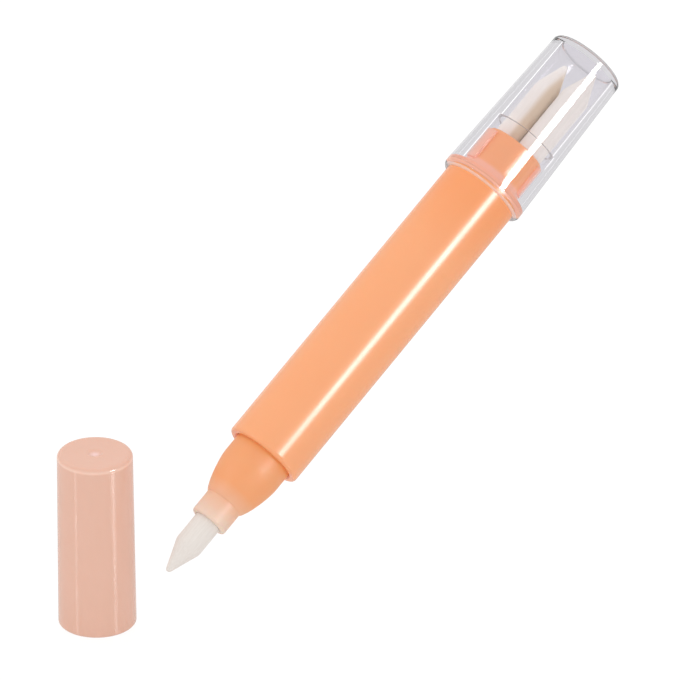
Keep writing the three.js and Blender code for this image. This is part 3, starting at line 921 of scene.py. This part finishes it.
# %% Nose
SLEEVE_BORE = 2.66  # tight on the nib
SLEEVE_LENGTH = 4.6
SLEEVE_LIP = 0.45
SPIGOT_LENGTH = 10
HOLLOW_FRONT = -2.9
HOLLOW_TAPER = 3.6
nose_length = LAND_LENGTH + OGIVE_LENGTH + SLEEVE_LENGTH

nose = turned_ring(
    "nose_moulding",
    [
        (SLEEVE_BORE, -nose_length),
        *arc(SLEEVE_RADIUS - SLEEVE_LIP, SLEEVE_LIP - nose_length, SLEEVE_LIP, -90, 0),
        *ogive(),
        *beads(SPIGOT_RADIUS, BEAD_PITCH),
        (SPIGOT_RADIUS, SPIGOT_LENGTH),
        (RESERVOIR_ROOM, SPIGOT_LENGTH),
        (RESERVOIR_ROOM, HOLLOW_FRONT),
        (SLEEVE_BORE, HOLLOW_FRONT - HOLLOW_TAPER),
    ],
    nose_finish,
)
fit(nose, pen_place, "pen", "front_section")

# %% [markdown]
# ## The nibs
# The nib in use and the two spares are the same rod, ground to a rounded point at one end. Ground felt
# isn't quite smooth, so a small tree pushes its points in and out along their normals by a noise that is
# drawn out along the fibres. Each nib has its own fixed seed, so no two are alike and every run gives the
# same ones.

# %% Felt relief tree
RELIEF_WIDTH = 0.5  # mm across the fibres
RELIEF_LENGTH = 4  # mm along them


def felt_tree():
    tree = bpy.data.node_groups.new("felt_relief", "GeometryNodeTree")
    tree.interface.new_socket("Geometry", in_out="INPUT", socket_type="NodeSocketGeometry")
    tree.interface.new_socket("Depth", in_out="INPUT", socket_type="NodeSocketFloat")
    tree.interface.new_socket("Seed", in_out="INPUT", socket_type="NodeSocketFloat")
    tree.interface.new_socket("Finish", in_out="INPUT", socket_type="NodeSocketMaterial")
    tree.interface.new_socket("Geometry", in_out="OUTPUT", socket_type="NodeSocketGeometry")
    given = node(tree, "NodeGroupInput").outputs
    across = 1 / (RELIEF_WIDTH * MM)
    along = 1 / (RELIEF_LENGTH * MM)
    position = {0: node(tree, "GeometryNodeInputPosition").outputs[0], 1: (across, across, along)}
    drawn = node(tree, "ShaderNodeVectorMath", position, operation="MULTIPLY").outputs[0]
    strands = {"Vector": drawn, "W": given["Seed"], "Scale": 1.0}
    fibres = node(tree, "ShaderNodeTexNoise", strands, noise_dimensions="4D").outputs[0]
    centred = node(tree, "ShaderNodeMath", {0: fibres, 1: 0.5}, operation="SUBTRACT").outputs[0]
    depth = node(tree, "ShaderNodeMath", {0: centred, 1: given["Depth"]}, operation="MULTIPLY").outputs[0]
    normal = node(tree, "GeometryNodeInputNormal").outputs[0]
    offset = node(tree, "ShaderNodeVectorMath", {0: normal, "Scale": depth}, operation="SCALE").outputs[0]
    pushed = {"Geometry": given["Geometry"], "Offset": offset}
    moved = node(tree, "GeometryNodeSetPosition", pushed).outputs[0]
    real = node(tree, "GeometryNodeRealizeInstances", {"Geometry": moved}).outputs[0]
    finish = {"Geometry": real, "Material": given["Finish"]}
    finished = node(tree, "GeometryNodeSetMaterial", finish).outputs[0]
    node(tree, "NodeGroupOutput", {"Geometry": finished})
    return tree


felt_relief = felt_tree()
print("felt relief tree:", len(felt_relief.nodes), "nodes")

# %% Nib profile
NIB_RADIUS = 2.625
NIB_LENGTH = 28.0
NIB_POINT_ANGLE = 20  # degrees from the axis to the side of the point
NIB_TIP_ROUND = 0.6
NIB_SHOULDER_ROUND = 3.0  # radius of the soft bend from the point to the rod
NIB_TAIL_CHAMFER = 0.4
NIB_RING_PITCH = 0.6  # mm between rings, fine enough for the felt's relief


def stretch(start, end):
    """Points from start to end, both in mm, one for each ring."""
    steps = math.ceil((Vector(end) - Vector(start)).length / NIB_RING_PITCH)
    return [tuple(Vector(start).lerp(Vector(end), i / steps)) for i in range(steps + 1)]


def nib_profile():
    """From the ball at the tip, at height 0, along the point and the rod to the flat tail."""
    ball = arc(0, NIB_TIP_ROUND, NIB_TIP_ROUND, -90, -NIB_POINT_ANGLE)
    ball_radius, ball_top = ball[-1]
    point_end = ball_top + (NIB_RADIUS - ball_radius) / math.tan(math.radians(NIB_POINT_ANGLE))
    middle = point_end + NIB_SHOULDER_ROUND * math.tan(math.radians(NIB_POINT_ANGLE / 2))
    shoulder = arc(NIB_RADIUS - NIB_SHOULDER_ROUND, middle, NIB_SHOULDER_ROUND, -NIB_POINT_ANGLE, 0)
    rod_end = (NIB_RADIUS, NIB_LENGTH - NIB_TAIL_CHAMFER)
    return [
        (0, 0),
        *ball[1:],
        *stretch(ball[-1], shoulder[0])[1:-1],
        *shoulder,
        *stretch(shoulder[-1], rod_end)[1:],
        (NIB_RADIUS - NIB_TAIL_CHAMFER, NIB_LENGTH),
        (0, NIB_LENGTH),
    ]


print("a nib's profile has", len(nib_profile()), "points")

# %% Nibs
NIB_STEPS = 72
NIB_TIP = -27.7  # height of the tip of the nib in use
FELT_DEPTH = 0.08  # mm between the felt's lowest and highest places, at most
SPARE_PITCH = 2.725  # mm from the pen's axis to a spare's axis
SPARE_TIPS = (93.4, 95.1)


def felt_nib(name, seed, finish):
    piece = turned(name, nib_profile(), finish, NIB_STEPS)
    run_tree(piece, felt_relief, {"Depth": FELT_DEPTH * MM, "Seed": seed, "Finish": finish})
    return piece


def spare_stand(number, height):
    """The place of a spare or of its socket beside the pen's axis, at a height in mm."""
    angle = math.radians(SPARE_TURN) + math.pi * number
    aside = SPARE_PITCH * MM
    return Matrix.Translation((aside * math.cos(angle), aside * math.sin(angle), height * MM))


nib = felt_nib("felt_nib", 1.0, felt_finish)
fit(nib, pen_place @ Matrix.Translation((0, 0, NIB_TIP * MM)), "nib", "nib")
upside_down = Matrix.Rotation(math.pi, 4, "X")
for number, (tip, finish) in enumerate(zip(SPARE_TIPS, (painted_shade_felt_finish, felt_finish))):
    spare = felt_nib(f"spare_felt_nib_{number + 1}", 2.0 + number, finish)
    fit(spare, pen_place @ spare_stand(number, tip) @ upside_down, "pen", f"spare_nib_{number + 1}")

# %% [markdown]
# ## The reservoir
# A bundle of fibres in a thin film fills the barrel. It is hidden, but the pocket for the nib's tail
# shows when the nib is pulled out. Plain turned profiles with fewer steps are enough for both.

# %% Reservoir
NIB_BORE = 2.775  # radius of a pocket that takes the tail of a nib
CORE_RADIUS = 4.2
CORE_FRONT = -2.6
CORE_REAR = 57.2
POCKET_FLOOR = 0.6
FILM_INSIDE = 4.35
FILM_OUTSIDE = 4.6
FILM_SETBACK = 0.4
HIDDEN_STEPS = 64

core = turned(
    "fibre_core",
    [
        (0, POCKET_FLOOR),
        (NIB_BORE, POCKET_FLOOR),
        (NIB_BORE, CORE_FRONT),
        (CORE_RADIUS, CORE_FRONT),
        (CORE_RADIUS, CORE_REAR),
        (0, CORE_REAR),
    ],
    fibre_finish,
    HIDDEN_STEPS,
)
fit(core, pen_place, "pen", "reservoir_core")
film = turned_ring(
    "core_film",
    [
        (FILM_INSIDE, CORE_FRONT + FILM_SETBACK),
        (FILM_OUTSIDE, CORE_FRONT + FILM_SETBACK),
        (FILM_OUTSIDE, CORE_REAR - FILM_SETBACK),
        (FILM_INSIDE, CORE_REAR - FILM_SETBACK),
    ],
    film_finish,
    HIDDEN_STEPS,
)
fit(film, pen_place, "pen", "reservoir_film")

# %% [markdown]
# ## The tail plug
# The plug closes the barrel's rear. A flared shoulder carries the clear cap, and its neck has two sockets
# for the spare nibs and ribs that guide the cap. The flare is a quarter of an ellipse, and the cap's seat
# follows the same curve. The sockets are cut with a Boolean modifier, because two round holes in a round
# neck follow no single profile.

# %% Shoulder curve
FLANGE_FRONT = 65.3
FLANGE_LAND = 0.3
FLARE_TOP = 69.4
NECK_RADIUS = 5.8


def flare(outside, inside, sunk=0):
    """Points of the plug's shoulder from one radius to a smaller one, lowered by sunk."""
    low = FLANGE_FRONT + FLANGE_LAND
    depth = BARREL_RADIUS - NECK_RADIUS
    first = math.acos((BARREL_RADIUS - outside) / depth)
    last = math.acos((BARREL_RADIUS - inside) / depth)
    points = []
    for i in range(CURVE_STEPS + 1):
        angle = first + (last - first) * i / CURVE_STEPS
        height = FLARE_TOP - (FLARE_TOP - low) * math.sin(angle)
        points.append((BARREL_RADIUS - depth * math.cos(angle), height - sunk))
    return points


print(f"the shoulder is {FLARE_TOP - FLANGE_FRONT:.1f} mm high")

# %% Tail plug
PLUG_FRONT = 57.5
PLUG_FLOOR = 1.4  # mm of plastic below the sockets
SOCKET_FLOOR = 65.1
NECK_TOP = 74.7
NECK_EDGE = 0.3
plug = turned(
    "tail_plug_moulding",
    [
        (0, SOCKET_FLOOR - PLUG_FLOOR),
        (RESERVOIR_ROOM, SOCKET_FLOOR - PLUG_FLOOR),
        (RESERVOIR_ROOM, PLUG_FRONT),
        (SPIGOT_RADIUS, PLUG_FRONT),
        *beads(SPIGOT_RADIUS, PLUG_FRONT + BEAD_PITCH),
        (SPIGOT_RADIUS, FLANGE_FRONT),
        (BARREL_RADIUS, FLANGE_FRONT),
        *flare(BARREL_RADIUS, NECK_RADIUS),
        *arc(NECK_RADIUS - NECK_EDGE, NECK_TOP - NECK_EDGE, NECK_EDGE, 0, 90),
        (0, NECK_TOP),
    ],
    tail_finish,
)

NECK_RIB_COUNT = 3
NECK_RIB_TURN = SPARE_TURN + 60
NECK_RIB_WIDTH = 2.4
NECK_RIB_RADIUS = 6.2
NECK_RIB_ROOT = 0.2  # how far a rib reaches into the neck
NECK_RIB_START = 67.4
NECK_RIB_SETBACK = 0.7
grips = ribs(
    "neck_ribs",
    NECK_RIB_COUNT,
    NECK_RIB_WIDTH,
    NECK_RADIUS - NECK_RIB_ROOT,
    NECK_RIB_RADIUS,
    NECK_RIB_START,
    NECK_TOP - NECK_RIB_SETBACK,
    NECK_RIB_TURN,
    tail_finish,
)
combine(plug, grips, "UNION")

SOCKET_OVERSHOOT = 1  # how far the cut runs out above the neck
socket_top = NECK_TOP + SOCKET_OVERSHOOT
socket_profile = [(0, SOCKET_FLOOR), (NIB_BORE, SOCKET_FLOOR), (NIB_BORE, socket_top), (0, socket_top)]
for number in range(len(SPARE_TIPS)):
    socket = turned("socket", socket_profile, tail_finish, NIB_STEPS)
    socket.data.transform(spare_stand(number, 0))
    combine(plug, socket, "DIFFERENCE")
fit(plug, pen_place, "pen", "tail_plug")

# %% [markdown]
# ## The clear cap
# A thick-walled cap that pulls off along the pen. Its bore steps in above the neck, and its mouth flares
# over the plug's shoulder. The wall is a real solid with an inside and an outside, because that is what
# bends the light. Where the plug's shoulder presses against the cap, no air is left between them, so the
# orange shows through the wall. The faces at the lip's edge and on the step get the second finish, a
# painted pale highlight. The cap casts no shadow and is skipped by scattered light, because clear plastic
# lets light in to what it covers.

# %% Clear cap
CLEAR_MOUTH = 64.3
CLEAR_MOUTH_BORE = 7.48  # tight on the barrel
CLEAR_MOUTH_RADIUS = 8.6
CLEAR_LIP = 1.0
LIP_HIGHLIGHT = 0.34  # height of the lip's painted pale highlight
CEILING_EDGE = 0.3
SEAT_PRESS = 0.04  # how far the plug's shoulder sinks into the clear cap
CLEAR_BORE = 6.35
BORE_STEP = 77.4
STEP_HIGHLIGHT_SPAN = 0.01  # how far a face on the step may be from its height
SPARE_BORE = 5.75
CLEAR_CEILING = 95.9
CLEAR_END = 97.0
CLEAR_END_RADIUS = 7.55
CLEAR_EDGE = 0.9
CLEAR_STEPS = 160

clear_cap = turned(
    "clear_rear_cap",
    [
        (0, CLEAR_CEILING),
        (SPARE_BORE - CEILING_EDGE, CLEAR_CEILING),
        (SPARE_BORE, CLEAR_CEILING - CEILING_EDGE),
        (SPARE_BORE, BORE_STEP),
        (CLEAR_BORE, BORE_STEP),
        *reversed(flare(CLEAR_MOUTH_BORE, CLEAR_BORE, SEAT_PRESS)),
        (CLEAR_MOUTH_BORE, CLEAR_MOUTH),
        *arc(CLEAR_MOUTH_RADIUS - CLEAR_LIP, CLEAR_MOUTH + CLEAR_LIP, CLEAR_LIP, -90, 0),
        *arc(CLEAR_END_RADIUS - CLEAR_EDGE, CLEAR_END - CLEAR_EDGE, CLEAR_EDGE, 0, 90),
        (0, CLEAR_END),
    ],
    clear_finish,
    CLEAR_STEPS,
)
highlight_slot = len(clear_cap.data.materials)
clear_cap.data.materials.append(painted_highlight_finish)
# the faces at the lip's edge and on the step get the painted highlight
for face in clear_cap.data.polygons:
    heights = [clear_cap.data.vertices[v].co.z / MM for v in face.vertices]
    on_lip = max(heights) < CLEAR_MOUTH + LIP_HIGHLIGHT
    on_step = max(abs(h - BORE_STEP) for h in heights) < STEP_HIGHLIGHT_SPAN
    if on_lip or on_step:
        face.material_index = highlight_slot
clear_cap.visible_shadow = False
clear_cap.visible_diffuse = False
fit(clear_cap, pen_place, "clear_cap", "clear_cap")

# %% [markdown]
# ## The front cap and its seal
# The cap stands on its open rim. Its top has the shallow mark of the moulding gate, a part of a sphere. A
# seal cup is pressed into its top, out of sight, and closes round the nib's sleeve when the cap is on.
# Both are turned in the cap's own place, where the rim is at height 0.

# %% Front cap
CAP_RADIUS = 7.18
CAP_BORE = 6.1
CAP_DRAFT = 0.25  # how much narrower the cap is at its top
CAP_HEIGHT = 34.45
CAP_CEILING = 32.9
CAP_EDGE = 0.9
CAP_RIM = 0.3
GATE_RADIUS = 1.5
GATE_DEPTH = 0.4


def cap_bore_at(height):
    return CAP_BORE - CAP_DRAFT * height / CAP_HEIGHT


def dimple(radius, depth, top):
    """Points of a round hollow in a flat top, from its edge to its lowest point."""
    sphere = (radius**2 + depth**2) / (2 * depth)
    edge = math.degrees(math.asin(radius / sphere))
    return arc(0, top - depth + sphere, sphere, edge - 90, -90)


cap_top = CAP_RADIUS - CAP_DRAFT
front_cap = turned(
    "peach_front_cap",
    [
        (0, CAP_CEILING),
        (cap_bore_at(CAP_CEILING), CAP_CEILING),
        (CAP_BORE, 0),
        *arc(CAP_RADIUS - CAP_RIM, CAP_RIM, CAP_RIM, -90, 0),
        *arc(cap_top - CAP_EDGE, CAP_HEIGHT - CAP_EDGE, CAP_EDGE, 0, 90),
        *dimple(GATE_RADIUS, GATE_DEPTH, CAP_HEIGHT),
    ],
    peach_finish,
)
fit(front_cap, cap_place, "front_cap", "front_cap")

# %% Seal cup
SEAL_BORE = 3.755
SEAL_RADIUS = 4.555
SEAL_FRONT = 13.3
SEAL_CEILING = 31.6
SEAL_REAR = 32.6
SEAL_FLANGE = 1.5
SEAL_CHAMFER = 0.35
SEAL_GAP = 0.15

flange_radius = cap_bore_at(SEAL_REAR) - SEAL_GAP
seal = turned(
    "seal_cup",
    [
        (0, SEAL_CEILING),
        (SEAL_BORE, SEAL_CEILING),
        (SEAL_BORE, SEAL_FRONT + SEAL_CHAMFER),
        (SEAL_BORE + SEAL_CHAMFER, SEAL_FRONT),
        (SEAL_RADIUS, SEAL_FRONT),
        (SEAL_RADIUS, SEAL_REAR - SEAL_FLANGE),
        (flange_radius, SEAL_REAR - SEAL_FLANGE),
        (flange_radius, SEAL_REAR),
        (0, SEAL_REAR),
    ],
    seal_finish,
    HIDDEN_STEPS,
)
fit(seal, cap_place, "front_cap", "cap_inner_seal")
